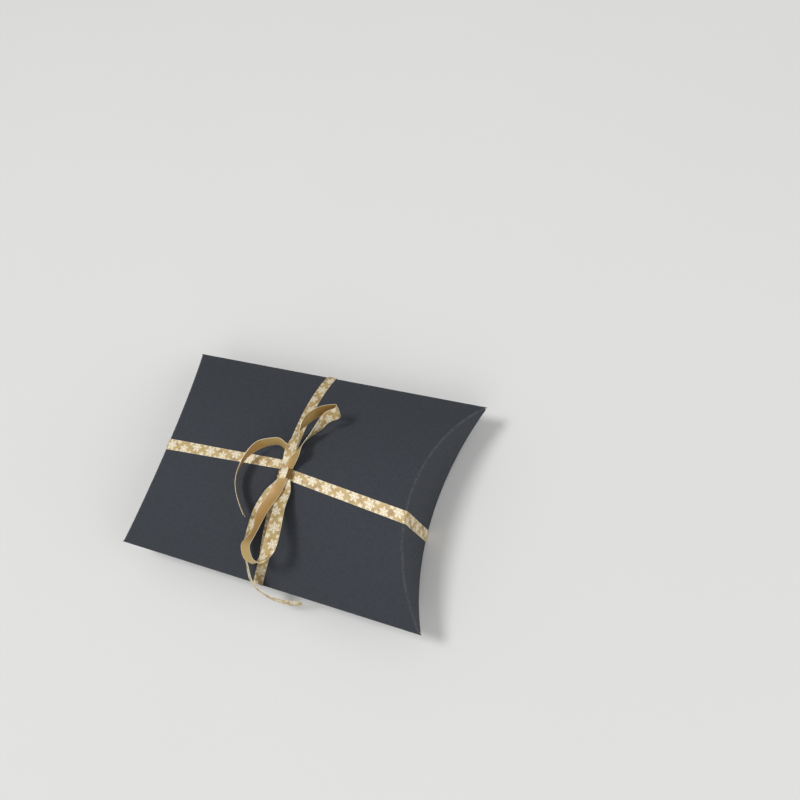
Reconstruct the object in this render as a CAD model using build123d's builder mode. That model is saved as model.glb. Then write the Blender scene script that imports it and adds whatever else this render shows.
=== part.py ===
"""Gift box of one folded card blank, curved like a pillow, tied with a flat ribbon and a bow.

Millimetres. X runs along the box, Y across it, Z up. The origin is the point under the
middle of the box where the ribbon on its underside rests.
"""

from build123d import *
from math import asin, degrees, hypot, pi, sqrt
import os

os.makedirs("parts", exist_ok=True)

# Card blank
panel_length = 162.0
box_width = 106.0
rise = 18.0
card = 0.45
lean_share = 0.92
crease_gap = 0.15
tuck_gap = 0.45
corner_trim = 1.2
tuck_inset = 5.5
swing_clearance = 0.3

# Glued seam inside the far fold
seam_width = 15.0
seam_inset = 11.0
seam_taper = 4.0
glue_film = 0.05

# Ribbon, and its bands, which are narrower where they are pulled tight
ribbon_width = 6.0
ribbon_thick = 0.2
ribbon_lift = 0.05
ribbon_bend_gap = 0.15
crossing_x = 2.6
crossing_y = -3.1
band_end_width = 5.4
band_left_y = -3.1
band_left_tied_y = 0.4
band_left_tied_width = 4.3
band_right_y = -9.2
band_right_tied_y = -3.3
band_right_tied_width = 5.0
girth_width = 5.0
girth_far_x = -0.9
girth_bend_x = 1.9
girth_bend_y = -42.0
girth_near_x = -0.6

# Knot and strands of the bow
knot_x = 3.9
knot_y = -3.6
knot_width = 7.0
knot_length = 5.6
knot_height = 2.5
knot_shoulder = 1.1
knot_foot = 0.3
knot_clearance = 0.05

# Space for cutting beyond a surface
overrun = 5.0

# The stations of each strand of the bow after it leaves the knot. Across and along are shares
# of half the box's width; up is a share of the rise and above a share of the ribbon's width,
# both counted from the plane of the folds. Heading and tilt turn the ribbon's width, in degrees.
upper_loop_shares = [
    (0.050, 0.083, 1, 0.30, 8, 0),
    (0.070, 0.200, 1, 0.75, 6, 20),
    (0.104, 0.296, 1, 0.98, -22, 57),
    (0.143, 0.400, 1, 1.12, 120, 86),
    (0.200, 0.481, 1, 1.07, 100, 72),
    (0.291, 0.543, 1, 0.93, 100, 68),
    (0.365, 0.560, 1, 0.93, 108, 62),
    (0.385, 0.561, 1, 0.96, 109, 61),
    (0.399, 0.549, 1, 1.02, 110, 61),
    (0.399, 0.530, 1, 1.07, 112, 60),
    (0.343, 0.489, 1, 1.08, 116, 60),
    (0.274, 0.411, 1, 0.87, 104, 70),
    (0.219, 0.326, 1, 0.65, -30, 78),
    (0.156, 0.230, 1, 0.52, -35, 58),
    (0.164, 0.141, 1, 0.96, -12, 50),
    (0.133, 0.070, 1, 0.74, -4, 28),
]
lower_loop_shares = [
    (0.129, -0.196, 1, 0.30, 183, -4),
    (0.143, -0.310, 1, 0.50, 191, -4),
    (0.176, -0.441, 1, 0.85, 188, -2),
    (0.208, -0.569, 1, 1.10, 193, 19),
    (0.223, -0.701, 1, 1.10, 196, 18),
    (0.199, -0.784, 1, 0.80, 194, -8),
    (0.153, -0.829, 1, 0.43, 190, -23),
    (0.136, -0.845, 1, 0.36, 191, -27),
    (0.117, -0.855, 1, 0.35, 191, -30),
    (0.090, -0.855, 1, 0.36, 192, -34),
    (0.033, -0.839, 1, 0.37, 188, -37),
    (-0.001, -0.797, 1, 0.50, 180, -44),
    (-0.009, -0.740, 1, 0.55, 167, -52),
    (-0.003, -0.658, 1, 0.55, 163, -45),
    (0.008, -0.564, 1, 0.58, 174, -34),
    (0.006, -0.450, 1, 0.53, 176, -15),
    (0.035, -0.341, 1, 0.53, 176, -10),
    (0.070, -0.220, 1, 0.55, 180, -2),
]
upper_tail_shares = [
    (0.036, 0.068, 1, 0.20, 6, 2),
    (0.020, 0.126, 1, 0.23, 14, 4),
    (-0.022, 0.162, 1, 0.27, 34, 14),
    (-0.062, 0.180, 1, 0.62, 56, 62),
    (-0.113, 0.162, 1, 0.90, 64, 74),
    (-0.217, 0.100, 1, 1.07, 88, 77),
    (-0.281, 0.009, 1, 1.12, 11, 84),
    (-0.317, -0.092, 1, 1.10, -18, 71),
    (-0.326, -0.185, 1, 1.03, -36, 62),
    (-0.308, -0.277, 1, 0.93, -38, 61),
    (-0.262, -0.364, 1, 0.83, -37, 60),
    (-0.200, -0.445, 1, 0.73, -38, 59),
    (-0.132, -0.515, 1, 0.67, -37, 58),
]
lower_tail_shares = [
    (0.006, -0.225, 1, 0.15, 168, 2),
    (-0.042, -0.375, 1, 0.11, 167, 0),
    (-0.066, -0.494, 1, 0.01, 165, -8),
    (-0.079, -0.597, 0.965, 0, 160, -22),
    (-0.098, -0.706, 0.95, 0, 143, -58),
    (-0.085, -0.791, 0.87, 0, 128, -55),
    (-0.046, -0.870, 0.73, 0, 140, -60),
    (-0.015, -0.966, 0.51, 0, 142, -60),
    (0.026, -1.030, 0.22, 0, 148, -61),
    (0.089, -1.064, -0.06, 0, 131, -62),
    (0.187, -1.072, -0.25, 0, 107, -58),
    (0.292, -1.060, -0.36, 0, 90, -53),
    (0.377, -1.034, -0.44, 0, 82, -49),
]

# Where the knot holds the ends of each strand: across from its middle as a share of its width,
# and up from its foot as a share of its height
upper_loop_tied_shares = [(-0.19, 0.50), (0.13, 0.74)]
lower_loop_tied_shares = [(0.19, 0.50), (0.06, 0.86)]
upper_tail_tied_shares = [(-0.19, 0.26)]
lower_tail_tied_shares = [(-0.21, 0.26)]

# A point halfway along a smooth curve, from its two neighbours on each side
inner_share = 9 / 16
outer_share = 1 / 16

# Worked out from the sizes above
half = box_width / 2
tuck_half_width = half - tuck_inset
half_length = panel_length / 2
radius = (half**2 + rise**2) / (2 * rise)
drop = radius - rise
girth_lift = ribbon_lift + ribbon_thick + ribbon_lift
mid_z = rise + girth_lift + ribbon_thick
tuck_setback = card + tuck_gap
slant = hypot(1, lean_share)
end_axis_x = half_length + lean_share * drop
crease_x = half_length - lean_share * rise
knot_base = mid_z + rise + girth_lift + ribbon_thick + knot_clearance

# Section across the box, looking along it, and plan at the height of the folds
section = Plane(origin=(0, 0, mid_z), x_dir=(0, 1, 0), z_dir=(1, 0, 0))
plan = Plane.XY.offset(mid_z)


def crest(y):
    """Height of a panel's outer face above the plane of the folds: a circular arc in y."""
    return sqrt(radius**2 - y**2) - drop


def swing_height(y):
    """Height over the folds that the inner flap may have at y and still swing in.

    Its hinge is the inner corner of the crease, so the tip's circle about that corner
    stays under the inner face of the front panel.
    """
    run = lean_share * (rise - crest(y)) + 2 * card
    room = rise + crest(y) - 3 * card - swing_clearance
    return card - rise + sqrt(room**2 - run**2)


def beyond_crease(side, shift):
    """Solid beyond the curved crease at the +X end: side 1 is the front, -1 the back.

    The crease lies in a plane that leans back over the box, where it is an ellipse. Swept at
    45 degrees it gives the mitre at which panel and flap meet.
    """
    crease_plane = Plane(
        origin=(half_length + shift, 0, mid_z),
        x_dir=(0, 1, 0),
        z_dir=(1, 0, side * lean_share),
    )
    with BuildPart() as beyond:
        with BuildSketch(crease_plane):
            with Locations((0, -side * slant * drop)):
                Ellipse(radius, slant * radius)
            Rectangle(box_width + 2 * overrun, 2 * slant * rise + overrun, mode=Mode.INTERSECT)
        extrude(amount=2 * rise, dir=(1, 0, side), both=True)
    return beyond.part


def pillow(grown):
    """Closed lens between the front and back arcs, grown outwards, past both ends."""
    with BuildPart() as lens:
        with BuildSketch(section):
            with Locations((0, -drop)):
                Circle(radius + grown)
            with Locations((0, drop)):
                Circle(radius + grown, mode=Mode.INTERSECT)
        extrude(amount=panel_length, both=True)
    return lens.part


def curved_shell(side, inner, outer):
    """Shell of one panel's arc from radius + inner to radius + outer: side 1 front, -1 back."""
    with BuildPart() as shell:
        with BuildSketch(section):
            with Locations((0, -side * drop)):
                Circle(radius + outer)
                Circle(radius + inner, mode=Mode.SUBTRACT)
            with Locations((0, side * radius)):
                Rectangle(2 * box_width, 2 * radius, mode=Mode.INTERSECT)
        extrude(amount=half_length, both=True)
    return shell.part


def end_wall(setback, inner, outer, low_y, high_y):
    """Upright curved wall under the crease at the +X end, from inner to outer past its face.

    In plan each of its faces is an arc of an ellipse, from high_y round to low_y.
    """
    with BuildPart() as wall:
        with BuildSketch(plan):
            with BuildLine():
                faces = []
                for past in (inner, outer):
                    high_angle = pi - asin(high_y / (radius - past))
                    low_angle = pi - asin(low_y / (radius - past))
                    face = EllipticalCenterArc(
                        (end_axis_x - setback, 0),
                        lean_share * radius - past,
                        radius - past,
                        start_angle=degrees(high_angle),
                        arc_size=degrees(low_angle - high_angle),
                    )
                    faces.append(face)
                Line(faces[0] @ 0, faces[1] @ 0)
                Line(faces[0] @ 1, faces[1] @ 1)
            make_face()
        extrude(amount=rise + overrun, both=True)
    return wall.part


def band_plan(route, across, past_crease):
    """Upright slab over a band in plan, ended past the outer face of each crease.

    route holds the middle of the band and its width at each bend, and across is the direction
    in which the width is laid off, to both sides.
    """
    one_edge = [Vector(x, y) + across * (width / 2) for x, y, width in route]
    other_edge = [Vector(x, y) - across * (width / 2) for x, y, width in route]
    with BuildPart() as slab:
        with BuildSketch(plan):
            with BuildLine():
                Polyline(*one_edge, *reversed(other_edge), close=True)
            make_face()
            with Locations((end_axis_x, 0), (-end_axis_x, 0)):
                Ellipse(
                    lean_share * radius - past_crease,
                    radius - past_crease,
                    mode=Mode.SUBTRACT,
                )
        extrude(amount=rise + overrun, both=True)
    return slab.part


def with_midpoints(values):
    """The vectors with one more between each two, on the smooth curve through its neighbours."""
    padded = [values[0]] + values + [values[-1]]
    result = []
    for before, first, second, after in zip(padded, padded[1:], padded[2:], padded[3:]):
        result.append(first)
        result.append((first + second) * inner_share - (before + after) * outer_share)
    return result + [values[-1]]


def stations(shares, tied_shares, leave):
    """Planes across one strand of the bow, square to its path, with X along its width.

    leave is 1 for a strand that leaves the knot's far face and -1 for its near face.
    """
    tied = [
        Vector(
            knot_x + across * knot_width,
            knot_y + leave * knot_length / 2,
            knot_base + up * knot_height,
        )
        for across, up in tied_shares
    ]
    path = [tied[0]]
    widths = [Vector(leave, 0, 0)]
    for across, along, up, above, heading, tilt in shares:
        path.append(Vector(across * half, along * half, mid_z + up * rise + above * ribbon_width))
        widths.append(Vector(1, 0, 0).rotate(Axis.Y, -tilt).rotate(Axis.Z, heading))
    path += tied[1:]
    widths += [Vector(leave, 0, 0) for end in tied[1:]]

    path = with_midpoints(path)
    widths = with_midpoints(widths)
    travel = [after - before for before, after in zip(path, path[2:])]
    travel.insert(0, Vector(0, leave, 0))
    travel.append(Vector(0, -leave, 0) if len(tied) > 1 else path[-1] - path[-2])
    planes = []
    for centre, width_way, onward in zip(path, widths, travel):
        width_way = width_way.normalized()
        square = onward - width_way * onward.dot(width_way)
        planes.append(Plane(origin=centre, x_dir=width_way, z_dir=square))
    return planes


# Surfaces that several pieces share
outer_lens = pillow(0)
inner_lens = pillow(-card)
front_shell = curved_shell(1, -card, 0)
back_shell = curved_shell(-1, -card, 0)
front_end = beyond_crease(1, -crease_gap / 2)
back_end = beyond_crease(-1, -tuck_setback - crease_gap / 2)

# Front panel
with BuildPart() as front_panel:
    add(front_shell)
    add(front_end, mode=Mode.SUBTRACT)
    mirror(front_end, about=Plane.YZ, mode=Mode.SUBTRACT)
front_panel.part.label = "front_panel"
export_step(front_panel.part, "parts/front_panel.step")

# Back panel, its creases set in so that the outer flaps close over its ends
with BuildPart() as back_panel:
    add(back_shell)
    add(back_end, mode=Mode.SUBTRACT)
    mirror(back_end, about=Plane.YZ, mode=Mode.SUBTRACT)
back_panel.part.label = "back_panel"
export_step(back_panel.part, "parts/back_panel.step")

# Glue flap: carries on from the front panel round the far fold and lies inside the back panel
seam_shell = curved_shell(-1, -2 * card - glue_film, -card - glue_film)
seam_root = half_length - seam_inset
seam_tip = seam_root - seam_taper
with BuildPart() as glue_flap:
    add(seam_shell)
    with BuildSketch(plan):
        with BuildLine():
            Polyline(
                (-seam_root, half),
                (-seam_tip, half - seam_width),
                (seam_tip, half - seam_width),
                (seam_root, half),
                close=True,
            )
        make_face()
    extrude(amount=-rise - overrun, mode=Mode.INTERSECT)
    add(inner_lens, mode=Mode.INTERSECT)
glue_flap.part.label = "glue_flap"
export_step(glue_flap.part, "parts/glue_flap.step")

# Outer flaps: fold down from the front panel and close the whole end
flap_reach = half - corner_trim
outer_wall = end_wall(0, -card, 0, -flap_reach, flap_reach)
front_mitre = beyond_crease(1, crease_gap / 2)
with BuildPart() as right_outer_flap:
    add(outer_wall)
    add(outer_lens, mode=Mode.INTERSECT)
    add(front_mitre, mode=Mode.INTERSECT)
right_outer_flap.part.label = "right_outer_flap"
export_step(right_outer_flap.part, "parts/right_outer_flap.step")

with BuildPart() as left_outer_flap:
    mirror(right_outer_flap.part, about=Plane.YZ)
left_outer_flap.part.label = "left_outer_flap"
export_step(left_outer_flap.part, "parts/left_outer_flap.step")

# Inner flaps: fold up from the back panel, the free edge rounded to swing in past the front
inner_wall = end_wall(tuck_setback, -card, 0, -tuck_half_width, tuck_half_width)
back_mitre = beyond_crease(-1, -tuck_setback + crease_gap / 2)
with BuildPart() as right_inner_flap:
    add(inner_wall)
    add(outer_lens, mode=Mode.INTERSECT)
    add(back_mitre, mode=Mode.INTERSECT)
    with BuildSketch(section):
        with BuildLine():
            free_edge = ThreePointArc(
                (-tuck_half_width, swing_height(tuck_half_width)),
                (0, swing_height(0)),
                (tuck_half_width, swing_height(tuck_half_width)),
            )
            Polyline(
                free_edge @ 1,
                (tuck_half_width, -rise),
                (-tuck_half_width, -rise),
                free_edge @ 0,
            )
        make_face()
    extrude(amount=panel_length, mode=Mode.INTERSECT)
right_inner_flap.part.label = "right_inner_flap"
export_step(right_inner_flap.part, "parts/right_inner_flap.step")

with BuildPart() as left_inner_flap:
    mirror(right_inner_flap.part, about=Plane.YZ)
left_inner_flap.part.label = "left_inner_flap"
export_step(left_inner_flap.part, "parts/left_inner_flap.step")

# Ribbon along the front, from crease to crease under the knot
left_run = [
    (-half_length, band_left_y, band_end_width),
    (-crease_x, band_left_y, band_end_width),
]
right_run = [
    (crease_x, band_right_y, band_end_width),
    (half_length, band_right_y, band_end_width),
]
left_tied = (crossing_x, band_left_tied_y, band_left_tied_width)
right_tied = (crossing_x, band_right_tied_y, band_right_tied_width)
front_ring = curved_shell(1, ribbon_lift, ribbon_lift + ribbon_thick)
with BuildPart() as ribbon_front_left:
    add(front_ring)
    add(
        band_plan(left_run + [left_tied], Vector(0, 1), -ribbon_bend_gap),
        mode=Mode.INTERSECT,
    )
ribbon_front_left.part.label = "ribbon_front_left"
export_step(ribbon_front_left.part, "parts/ribbon_front_left.step")

with BuildPart() as ribbon_front_right:
    add(front_ring)
    add(
        band_plan([right_tied] + right_run, Vector(0, 1), -ribbon_bend_gap),
        mode=Mode.INTERSECT,
    )
ribbon_front_right.part.label = "ribbon_front_right"
export_step(ribbon_front_right.part, "parts/ribbon_front_right.step")

# Ribbon over the outer flaps, between the two long bands
right_end_wall = end_wall(
    0,
    ribbon_lift,
    ribbon_lift + ribbon_thick,
    band_right_y - band_end_width / 2,
    band_right_y + band_end_width / 2,
)
with BuildPart() as ribbon_right_end:
    add(right_end_wall)
    add(outer_lens, mode=Mode.INTERSECT)
ribbon_right_end.part.label = "ribbon_right_end"
export_step(ribbon_right_end.part, "parts/ribbon_right_end.step")

left_end_wall = end_wall(
    0,
    ribbon_lift,
    ribbon_lift + ribbon_thick,
    band_left_y - band_end_width / 2,
    band_left_y + band_end_width / 2,
)
with BuildPart() as ribbon_left_end:
    mirror(left_end_wall, about=Plane.YZ)
    add(outer_lens, mode=Mode.INTERSECT)
ribbon_left_end.part.label = "ribbon_left_end"
export_step(ribbon_left_end.part, "parts/ribbon_left_end.step")

# Ribbon along the back, out to the outer face of each end stretch
back_ring = curved_shell(-1, ribbon_lift, ribbon_lift + ribbon_thick)
back_slab = band_plan(left_run + right_run, Vector(0, 1), ribbon_lift + ribbon_thick)
with BuildPart() as ribbon_back_long:
    add(back_ring)
    add(back_slab, mode=Mode.INTERSECT)
ribbon_back_long.part.label = "ribbon_back_long"
export_step(ribbon_back_long.part, "parts/ribbon_back_long.step")

# Ribbon round the girth, over the long band: two halves in front and one stretch behind
far_run = [
    (girth_far_x, half + overrun, girth_width),
    (girth_far_x, half, girth_width),
]
near_run = [
    (girth_near_x, -half, girth_width),
    (girth_near_x, -half - overrun, girth_width),
]
front_run = [
    (crossing_x, crossing_y, girth_width),
    (girth_bend_x, girth_bend_y, girth_width),
]
front_girth_ring = curved_shell(1, girth_lift, girth_lift + ribbon_thick)
front_girth_slab = band_plan(far_run + front_run + near_run, Vector(1, 0), ribbon_lift)
with BuildPart() as front_girth:
    add(front_girth_ring)
    add(front_girth_slab, mode=Mode.INTERSECT)

with BuildPart() as ribbon_front_upper:
    add(front_girth.part)
    split(bisect_by=Plane.XZ.offset(-crossing_y), keep=Keep.BOTTOM)
ribbon_front_upper.part.label = "ribbon_front_upper"
export_step(ribbon_front_upper.part, "parts/ribbon_front_upper.step")

with BuildPart() as ribbon_front_lower:
    add(front_girth.part)
    split(bisect_by=Plane.XZ.offset(-crossing_y), keep=Keep.TOP)
ribbon_front_lower.part.label = "ribbon_front_lower"
export_step(ribbon_front_lower.part, "parts/ribbon_front_lower.step")

back_girth_ring = curved_shell(-1, girth_lift, girth_lift + ribbon_thick)
back_girth_slab = band_plan(far_run + near_run, Vector(1, 0), ribbon_lift)
with BuildPart() as ribbon_back_cross:
    add(back_girth_ring)
    add(back_girth_slab, mode=Mode.INTERSECT)
ribbon_back_cross.part.label = "ribbon_back_cross"
export_step(ribbon_back_cross.part, "parts/ribbon_back_cross.step")

# Knot: the ribbon's turn over the middle, rounded over its sides
knot_plane = Plane(origin=(knot_x, knot_y, knot_base), x_dir=(1, 0, 0), z_dir=(0, -1, 0))
with BuildPart() as bow_knot:
    with BuildSketch(knot_plane) as loaf:
        Rectangle(knot_width, knot_height, align=(Align.CENTER, Align.MIN))
        fillet(loaf.vertices().group_by(Axis.Y)[-1], radius=knot_shoulder)
        fillet(loaf.vertices().group_by(Axis.Y)[0], radius=knot_foot)
    extrude(amount=knot_length / 2, both=True)
bow_knot.part.label = "bow_knot"
export_step(bow_knot.part, "parts/bow_knot.step")

# Loops and tails: the flat ribbon lofted through its stations
with BuildPart() as bow_loop_upper:
    for place in stations(upper_loop_shares, upper_loop_tied_shares, 1):
        with BuildSketch(place):
            Rectangle(ribbon_width, ribbon_thick)
    loft(ruled=True)
bow_loop_upper.part.label = "bow_loop_upper"
export_step(bow_loop_upper.part, "parts/bow_loop_upper.step")

with BuildPart() as bow_loop_lower:
    for place in stations(lower_loop_shares, lower_loop_tied_shares, -1):
        with BuildSketch(place):
            Rectangle(ribbon_width, ribbon_thick)
    loft(ruled=True)
bow_loop_lower.part.label = "bow_loop_lower"
export_step(bow_loop_lower.part, "parts/bow_loop_lower.step")

with BuildPart() as bow_tail_upper:
    for place in stations(upper_tail_shares, upper_tail_tied_shares, 1):
        with BuildSketch(place):
            Rectangle(ribbon_width, ribbon_thick)
    loft(ruled=True)
bow_tail_upper.part.label = "bow_tail_upper"
export_step(bow_tail_upper.part, "parts/bow_tail_upper.step")

with BuildPart() as bow_tail_lower:
    for place in stations(lower_tail_shares, lower_tail_tied_shares, -1):
        with BuildSketch(place):
            Rectangle(ribbon_width, ribbon_thick)
    loft(ruled=True)
bow_tail_lower.part.label = "bow_tail_lower"
export_step(bow_tail_lower.part, "parts/bow_tail_lower.step")
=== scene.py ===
"""Pillow box: a gift box folded from one card blank and tied with a narrow printed ribbon.

Laid out as a Blender add-on and run as a script. Lengths are in metres: X runs along the box,
Y across it and Z up, from the point under its middle where the ribbon rests.
"""

from math import pi, radians

import bpy
import numpy as np
from bpy.props import FloatProperty, FloatVectorProperty, PointerProperty
from mathutils import Matrix, Vector


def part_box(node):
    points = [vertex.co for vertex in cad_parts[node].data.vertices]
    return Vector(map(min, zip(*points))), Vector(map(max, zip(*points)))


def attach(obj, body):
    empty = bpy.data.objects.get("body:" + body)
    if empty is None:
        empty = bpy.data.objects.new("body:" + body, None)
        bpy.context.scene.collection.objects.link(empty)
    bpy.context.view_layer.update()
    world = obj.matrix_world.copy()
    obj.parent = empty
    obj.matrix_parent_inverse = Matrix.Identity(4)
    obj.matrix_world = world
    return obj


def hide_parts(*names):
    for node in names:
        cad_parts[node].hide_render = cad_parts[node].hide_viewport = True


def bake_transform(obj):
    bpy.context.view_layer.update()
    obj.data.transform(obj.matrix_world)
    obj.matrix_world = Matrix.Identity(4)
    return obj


bl_info = {
    "name": "Pillow Box",
    "version": (1, 0, 0),
    "blender": (4, 5, 0),
    "location": "3D View > Sidebar > Pillow Box",
    "description": "Builds a ribbon-tied pillow box from its card, ribbon, bow and stage settings",
    "category": "Add Mesh",
}

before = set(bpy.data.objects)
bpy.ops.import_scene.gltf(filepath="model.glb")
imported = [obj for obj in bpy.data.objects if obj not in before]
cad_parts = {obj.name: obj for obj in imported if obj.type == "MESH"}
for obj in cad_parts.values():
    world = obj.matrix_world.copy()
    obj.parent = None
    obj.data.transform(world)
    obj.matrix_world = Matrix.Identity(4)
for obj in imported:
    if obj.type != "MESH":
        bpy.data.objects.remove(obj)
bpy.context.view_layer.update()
panel_low, panel_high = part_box("front_panel")
tuck_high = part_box("right_inner_flap")[1]
flap_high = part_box("right_outer_flap")[1]
knot_low, knot_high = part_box("bow_knot")
left_low, left_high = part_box("ribbon_left_end")
right_low, right_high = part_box("ribbon_right_end")
FOLD_HEIGHT = float(panel_low.z)


# Settings


def amount(name, description, default, **more):
    """A plain number of at least zero, or of the least that min gives."""
    return FloatProperty(name=name, description=description, default=default, **{"min": 0.0, **more})


def portion(name, description, default):
    """A share of something else's size."""
    return amount(name, description, default, min=0.05, max=1.0, subtype="FACTOR")


def metres(name, description, default, **more):
    """A length or a place along one axis."""
    return FloatProperty(
        name=name, description=description, default=default, precision=5, unit="LENGTH", **more
    )


def spot(name, description, default):
    """A place or a size along two or three axes."""
    return FloatVectorProperty(
        name=name,
        description=description,
        default=tuple(default),
        size=len(default),
        precision=4,
        subtype="XYZ",
        unit="LENGTH",
    )


def tint(name, description, default):
    """A colour."""
    return FloatVectorProperty(
        name=name, description=description, default=default, size=3, min=0.0, max=1.0, subtype="COLOR"
    )


class CardSettings(bpy.types.PropertyGroup):
    length: metres(
        "Length",
        "Length of the box between the tips of its corners",
        panel_high.x - panel_low.x,
        min=0.05,
    )
    width: metres(
        "Width", "Width of the box between its two straight folds", panel_high.y - panel_low.y, min=0.03
    )
    rise: metres(
        "Rise",
        "Height of each bowed panel over the plane of the folds",
        panel_high.z - panel_low.z,
        min=0.005,
    )
    board: metres("Board", "Thickness of the card", 0.00045, min=0.0001)
    lean: amount(
        "Lean",
        "How far the plane of a curved crease leans back, per unit of height",
        0.92,
        min=0.1,
        max=2.0,
    )
    fold_radius: metres(
        "Fold Radius", "Radius of the card's outer face round a crease", 0.00045, min=0.0001
    )
    setback: metres(
        "Tuck Setback", "How far the back panel's creases stand in from the front panel's", 0.0009
    )
    flap_reach: metres("Outer Flap Reach", "Half the width of an outer flap", flap_high.y)
    tuck_reach: metres("Inner Flap Reach", "Half the width of an inner flap", tuck_high.y)
    seam_width: metres("Seam Width", "Width of the glued flap inside the far fold", 0.015)
    seam_inset: metres(
        "Seam Inset", "Distance from the corner of the box to the glued flap's root", 0.011
    )
    seam_taper: metres(
        "Seam Taper",
        "How much shorter the glued flap is at its edge than at its root, at each end",
        0.004,
    )
    tuck_drop: metres(
        "Inner Flap Shoulder",
        "How far the inner flap's rounded edge ends under the plane of the folds",
        0.0028,
    )
    colour: tint("Card", "Colour of the dyed card", (0.040, 0.045, 0.055))
    # The creases are blended towards this colour as a painted highlight; the cut edges take it as the
    # card's paler fibres.
    crease_highlight_and_cut_colour: tint(
        "Crease and Cut Edge",
        "Colour of the card's fibres where a crease or a cut opens them",
        (0.088, 0.094, 0.104),
    )


class RibbonSettings(bpy.types.PropertyGroup):
    width: metres("Width", "Width of the ribbon", 0.006, min=0.002)
    thickness: metres("Thickness", "Thickness of the ribbon", 0.0002, min=0.00005)
    lift: metres(
        "Lift", "Gap between the card and the ribbon that is pulled tight over it", 0.00005, min=0.0
    )
    end_width: metres(
        "End Width",
        "Width of the lengthwise band where it is pulled over the ends",
        right_high.y - right_low.y,
    )
    left_y: metres(
        "Left End",
        "Place of the lengthwise band where it crosses the left crease",
        float(left_low.y + left_high.y) / 2,
    )
    right_y: metres(
        "Right End",
        "Place of the lengthwise band where it crosses the right crease",
        float(right_low.y + right_high.y) / 2,
    )
    left_tied_y: metres(
        "Left Tied", "Place of the lengthwise band's left half where it goes under the girth", 0.0004
    )
    left_tied_width: metres(
        "Left Tied Width",
        "Width of the lengthwise band's left half where it goes under the girth",
        0.0043,
    )
    right_tied_y: metres(
        "Right Tied", "Place of the lengthwise band's right half where it comes from the girth", -0.0033
    )
    right_tied_width: metres(
        "Right Tied Width",
        "Width of the lengthwise band's right half where it comes from the girth",
        0.0050,
    )
    crossing: spot(
        "Crossing", "Where the two bands cross in front, along and across the box", (0.0026, -0.0031)
    )
    girth_width: metres("Girth Width", "Width of the band round the girth", 0.0050)
    girth_bend: spot(
        "Girth Bend", "Where the band round the girth turns aside near the near fold", (0.0019, -0.0420)
    )
    far_x: metres("Far Fold", "Place of the band round the girth at the far fold", -0.0009)
    near_x: metres("Near Fold", "Place of the band round the girth at the near fold", -0.0006)
    ground: tint(
        "Printed Ground", "Colour of the satin between the printed flakes", (0.53, 0.38, 0.147)
    )
    # Painted shade: the printed ground is darkened towards this colour in cloudy patches, standing in
    # for the satin's sheen
    painted_shade_ground: tint(
        "Painted Satin Shade", "Colour of the satin where the light leaves its threads", (0.34, 0.20, 0.075)
    )
    print_colour: tint(
        "Print", "Colour of the printed flakes and of the ribbon's edges", (0.85, 0.77, 0.59)
    )
    reverse: tint("Reverse", "Colour of the plain side", (0.44, 0.255, 0.072))
    flake: portion("Flake Size", "Radius of the largest flake, as a share of the ribbon's width", 0.47)
    repeat: amount(
        "Repeat", "Length of one repeat of the print, in widths of the ribbon", 3.7, min=1.0
    )
    # Painted highlight: the plain side is painted lighter in gleams at this spacing
    gleam_repeat: amount(
        "Gleam Repeat",
        "Distance from gleam to gleam on the plain side, in widths of the ribbon",
        8.0,
        min=1.0,
    )


class BowSettings(bpy.types.PropertyGroup):
    centre: spot("Knot", "Middle of the knot", (knot_low + knot_high) / 2)
    size: spot(
        "Knot Size",
        "Size of the knot across the box's length, across its width and upwards",
        knot_high - knot_low,
    )
    wrap_start: amount(
        "Wrap Start",
        "Angle on the knot where its outer turn comes out, from +X towards the top",
        radians(62),
        subtype="ANGLE",
    )
    wrap_end: amount(
        "Wrap End",
        "Angle on the knot where its outer turn goes back in, from +X over the top",
        radians(276),
        subtype="ANGLE",
    )
    loop_waist: portion(
        "Loop Waist", "Width of a loop where the knot gathers it, as a share of the ribbon's", 0.74
    )
    tail_waist: portion(
        "Tail Waist", "Width of a tail where the knot gathers it, as a share of the ribbon's", 0.42
    )
    gather: metres("Gather", "Length over which a strand widens as it leaves the knot", 0.009)
    camber: metres("Camber", "How far the middle of a strand bows out from its edges", 0.00018)


class StageSettings(bpy.types.PropertyGroup):
    floor: tint("Floor", "Colour of the floor", (0.80, 0.80, 0.79))
    key: amount(
        "Key Light", "Power of the soft lamp overhead, a little to the left", 16.0, unit="POWER"
    )
    right_fill: amount("Right Fill", "Power of the large lamp on the right", 20.0, unit="POWER")
    front_fill: amount(
        "Front Fill", "Power of the large lamp in front of the near fold", 11.0, unit="POWER"
    )
    sky: amount("Sky", "Strength of the even light from all round", 0.34)
    backdrop: amount("Backdrop", "Strength of the background as the camera sees it", 0.72)


# The stations of each strand of the bow after it leaves the knot: (x, y, up, above, heading,
# tilt). x and y are shares of half the box's width, up is a share of the panels' rise over the
# plane of the folds, and above is added to it as a share of the ribbon's width. Heading, from
# +X, and tilt, from the level, give the direction of the ribbon's width in degrees.
UPPER_LOOP = [
    (0.050, 0.083, 1, 0.30, 8, 0),
    (0.070, 0.200, 1, 0.75, 6, 20),
    (0.104, 0.296, 1, 0.98, -22, 57),
    (0.143, 0.400, 1, 1.12, 120, 86),
    (0.200, 0.481, 1, 1.07, 100, 72),
    (0.291, 0.543, 1, 0.93, 100, 68),
    (0.365, 0.560, 1, 0.93, 108, 62),
    (0.385, 0.561, 1, 0.96, 109, 61),
    (0.399, 0.549, 1, 1.02, 110, 61),
    (0.399, 0.530, 1, 1.07, 112, 60),
    (0.343, 0.489, 1, 1.08, 116, 60),
    (0.274, 0.411, 1, 0.87, 104, 70),
    (0.219, 0.326, 1, 0.65, -30, 78),
    (0.156, 0.230, 1, 0.52, -35, 58),
    (0.164, 0.141, 1, 0.96, -12, 50),
    (0.133, 0.070, 1, 0.74, -4, 28),
]
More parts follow.
